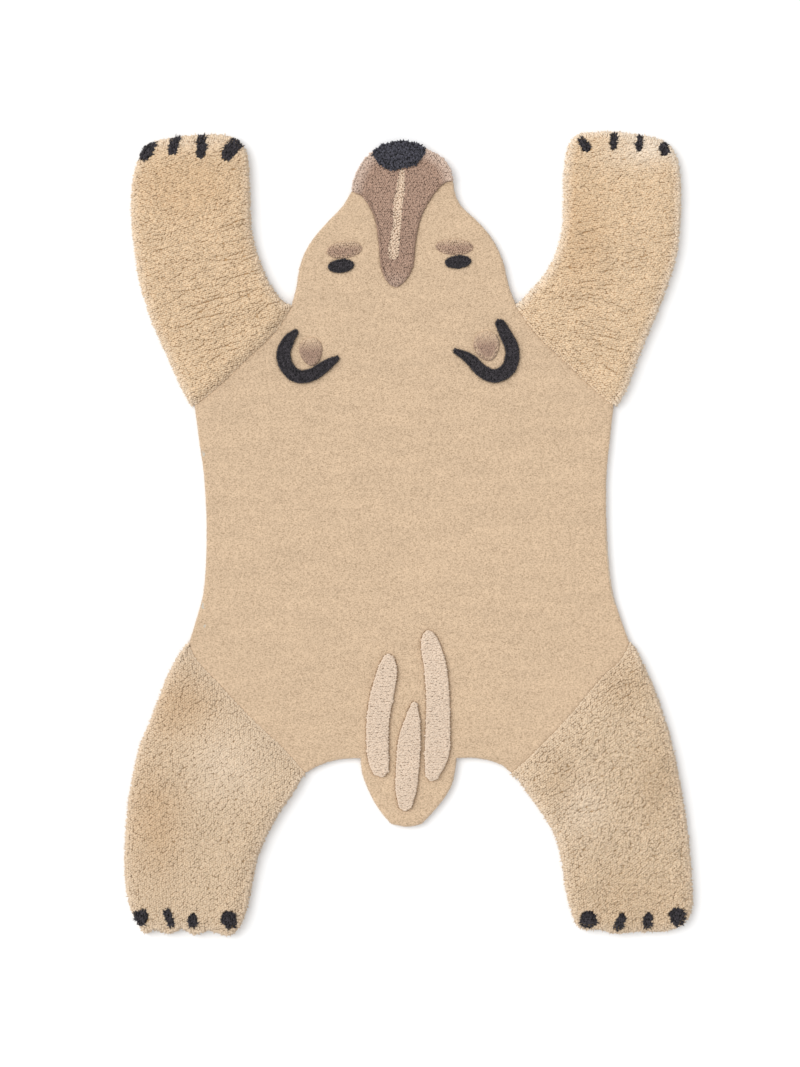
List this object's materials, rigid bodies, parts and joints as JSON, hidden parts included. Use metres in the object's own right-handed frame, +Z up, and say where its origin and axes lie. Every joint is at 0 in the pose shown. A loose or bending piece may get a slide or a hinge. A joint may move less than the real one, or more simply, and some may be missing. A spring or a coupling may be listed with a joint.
{
  "type": "bear shaped kids rug",
  "caption": "Flat tufted wool rug in the outline of a bear: short pile on face, body and tail, long shag on the legs, raised muzzle, ears, claws and tail strokes.",
  "frame": {"origin": "middle of the rug's box, on the floor under it", "axes": "+Y along the rug to the nose, +X to the right seen from above, +Z up from the floor"},
  "size_m": [0.989, 1.3985, 0.0274],
  "materials": {
    "body_pile": "short cut wool pile, matt, sand beige",
    "shag_pile": "long uncut-looking wool shag, matt, sand beige",
    "taupe_pile": "cut wool pile, matt, taupe",
    "nose_pile": "dense cut wool pile, matt, blue black",
    "dark_pile": "cut wool pile, matt, charcoal",
    "pale_pile": "looped and cut wool pile, matt, cream",
    "blaze_pile": "thin line of cut wool pile, matt, cream"
  },
  "bodies": {
    "root": {"ground": "body_pile", "foreleg_left": "shag_pile", "foreleg_right": "shag_pile", "hindleg_left": "shag_pile", "hindleg_right": "shag_pile", "muzzle": "taupe_pile", "nose": "nose_pile", "blaze": "blaze_pile", "brow_left": "taupe_pile", "brow_right": "taupe_pile", "eye_left": "dark_pile", "eye_right": "dark_pile", "ear_left": "dark_pile", "ear_right": "dark_pile", "inner_ear_left": "taupe_pile", "inner_ear_right": "taupe_pile", "tail_stroke_1": "pale_pile", "tail_stroke_2": "pale_pile", "tail_stroke_3": "pale_pile", "claw_foreleg_left_1": "dark_pile", "claw_foreleg_left_2": "dark_pile", "claw_foreleg_left_3": "dark_pile", "claw_foreleg_left_4": "dark_pile", "claw_foreleg_right_1": "dark_pile", "claw_foreleg_right_2": "dark_pile", "claw_foreleg_right_3": "dark_pile", "claw_foreleg_right_4": "dark_pile", "claw_hindleg_left_1": "dark_pile", "claw_hindleg_left_2": "dark_pile", "claw_hindleg_left_3": "dark_pile", "claw_hindleg_left_4": "dark_pile", "claw_hindleg_right_1": "dark_pile", "claw_hindleg_right_2": "dark_pile", "claw_hindleg_right_3": "dark_pile", "claw_hindleg_right_4": "dark_pile"}
  },
  "joints": []
}
